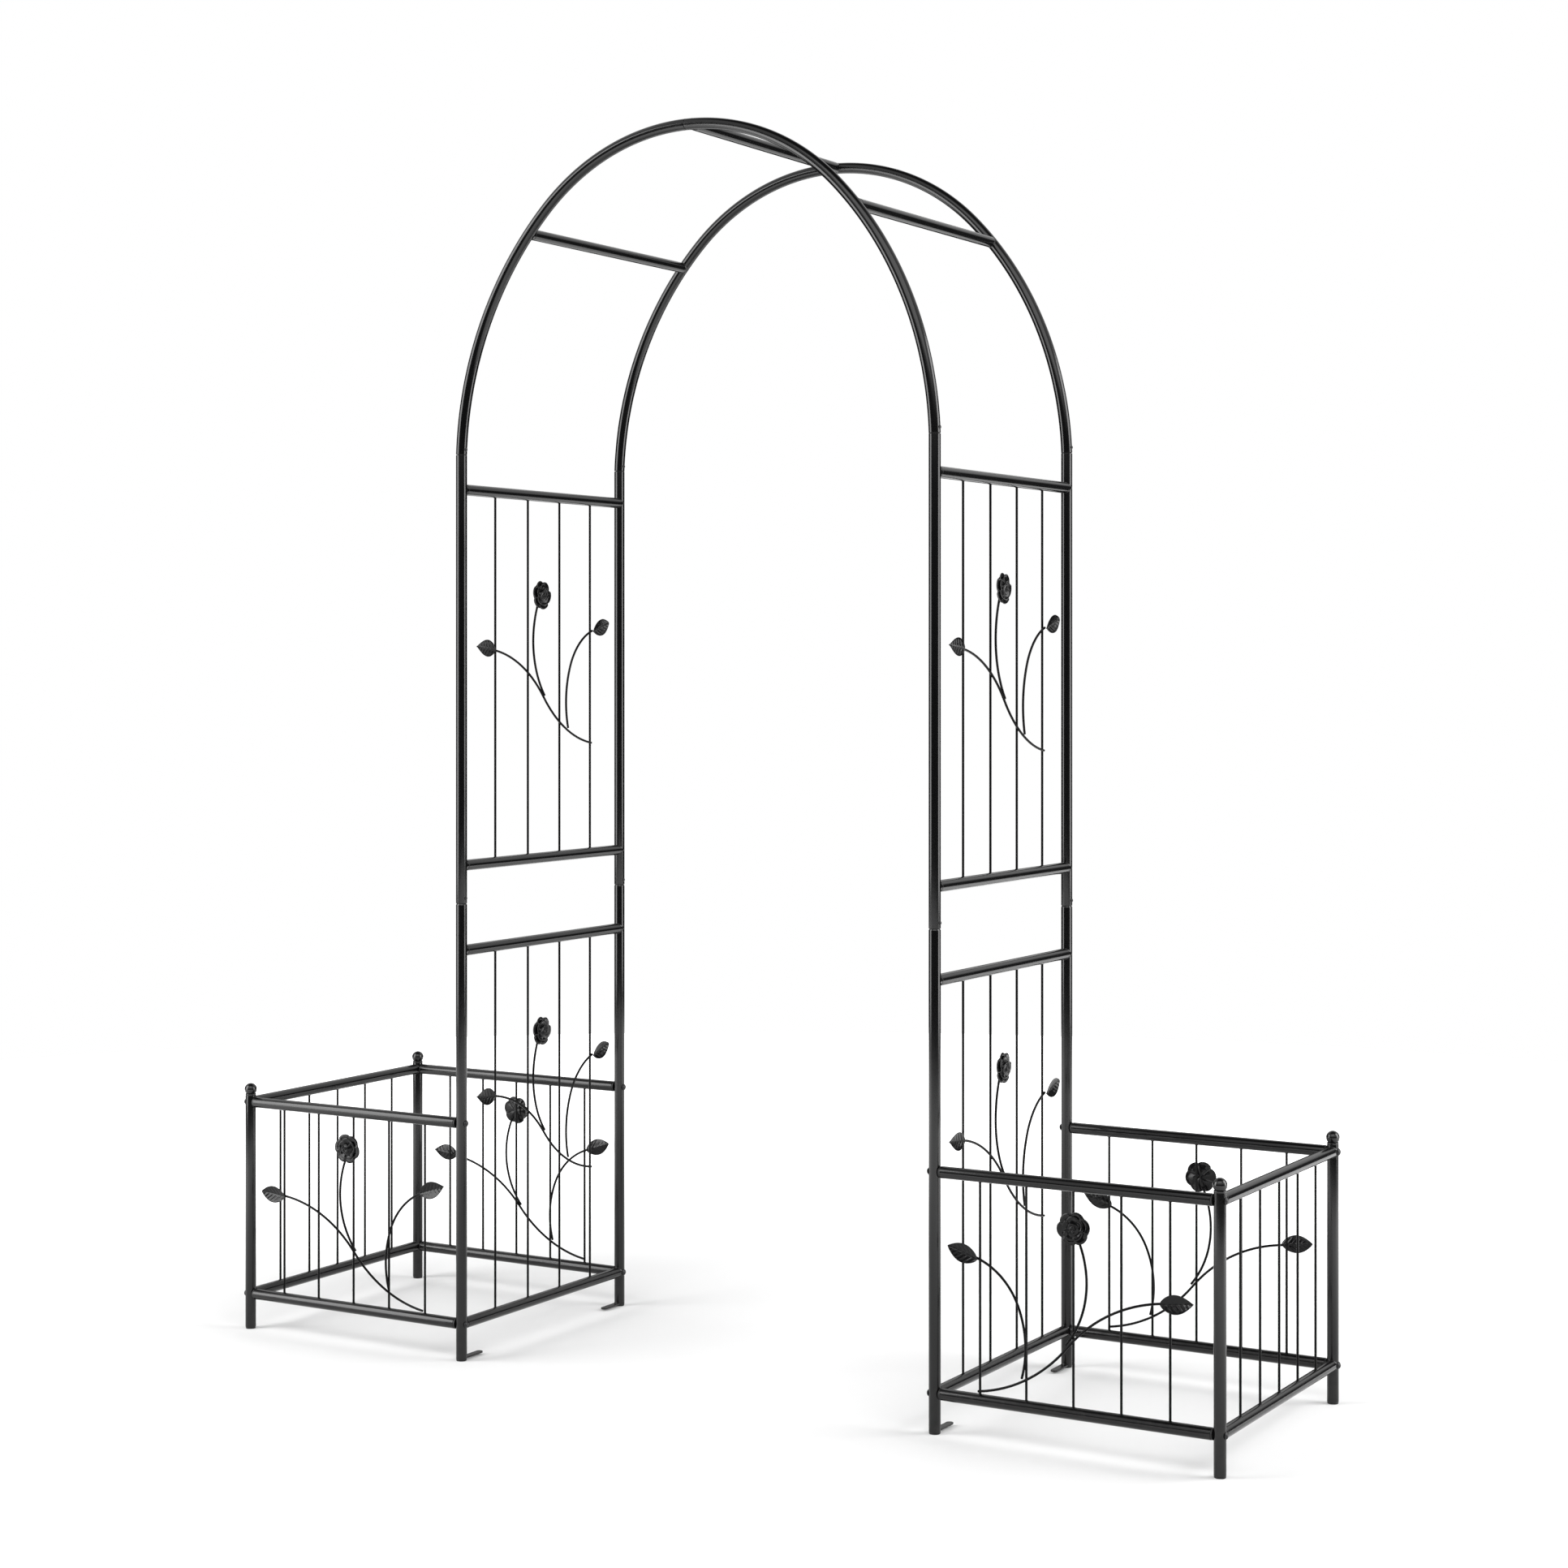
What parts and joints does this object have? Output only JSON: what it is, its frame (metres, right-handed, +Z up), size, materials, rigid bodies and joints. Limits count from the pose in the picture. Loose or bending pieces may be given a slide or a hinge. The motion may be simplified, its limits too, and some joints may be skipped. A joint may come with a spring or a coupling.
{
  "type": "garden trellis arch",
  "caption": "Free-standing round-topped garden arch of steel tube with trellis sides, floral wire vines and an open square planter basket on each side.",
  "frame": {"origin": "centre of the arch's footprint, on the ground", "axes": "+X across the walk-through, from the left basket to the right basket; +Y from the front arch to the rear arch, along the walk-through; +Z up"},
  "size_m": [1.8962, 0.5266, 2.1015],
  "materials": {
    "coated_tube": "satin black powder coat on round steel tube",
    "coated_wire": "satin black powder coat on round steel wire",
    "pressed_sheet": "semi-gloss black powder coat on pressed sheet",
    "finial_black": "gloss black moulded ball",
    "cap_plastic": "matte black moulded plastic",
    "fastener_black": "black finished steel",
    "sleeve_steel": "black coated steel"
  },
  "bodies": {
    "root": {"left_front_lower_post": "coated_tube", "left_front_upper_post": "coated_tube", "left_front_arch_arc": "coated_tube", "left_front_outer_post": "coated_tube", "left_front_basket_rails": "coated_tube", "left_front_basket_rods": "coated_wire", "left_front_basket_vine": "coated_wire", "left_rear_lower_post": "coated_tube", "left_rear_upper_post": "coated_tube", "left_rear_arch_arc": "coated_tube", "left_rear_outer_post": "coated_tube", "left_rear_basket_rails": "coated_tube", "left_rear_basket_rods": "coated_wire", "left_rear_basket_vine": "coated_wire", "right_front_lower_post": "coated_tube", "right_front_upper_post": "coated_tube", "right_front_arch_arc": "coated_tube", "right_front_outer_post": "coated_tube", "right_front_basket_rails": "coated_tube", "right_front_basket_rods": "coated_wire", "right_front_basket_vine": "coated_wire", "right_rear_lower_post": "coated_tube", "right_rear_upper_post": "coated_tube", "right_rear_arch_arc": "coated_tube", "right_rear_outer_post": "coated_tube", "right_rear_basket_rails": "coated_tube", "right_rear_basket_rods": "coated_wire", "right_rear_basket_vine": "coated_wire", "left_upper_ladder_bars": "coated_tube", "left_upper_ladder_rods": "coated_wire", "left_upper_ladder_vine": "coated_wire", "left_lower_ladder_bars": "coated_tube", "left_lower_ladder_rods": "coated_wire", "left_lower_ladder_vine": "coated_wire", "right_upper_ladder_bars": "coated_tube", "right_upper_ladder_rods": "coated_wire", "right_upper_ladder_vine": "coated_wire", "right_lower_ladder_bars": "coated_tube", "right_lower_ladder_rods": "coated_wire", "right_lower_ladder_vine": "coated_wire", "left_basket_end_rails": "coated_tube", "left_basket_end_rods": "coated_wire", "right_basket_end_rails": "coated_tube", "right_basket_end_rods": "coated_wire", "arch_left_crossbar": "coated_tube", "arch_top_crossbar": "coated_tube", "arch_right_crossbar": "coated_tube", "apex_sleeves": "sleeve_steel", "ladder_flowers": "pressed_sheet", "basket_flowers": "pressed_sheet", "ladder_leaves": "pressed_sheet", "basket_leaves": "pressed_sheet", "post_finials": "finial_black", "foot_caps": "cap_plastic", "foot_tabs": "coated_tube", "rail_plugs": "cap_plastic", "rail_bolts": "fastener_black", "joint_screws": "fastener_black"}
  },
  "joints": []
}
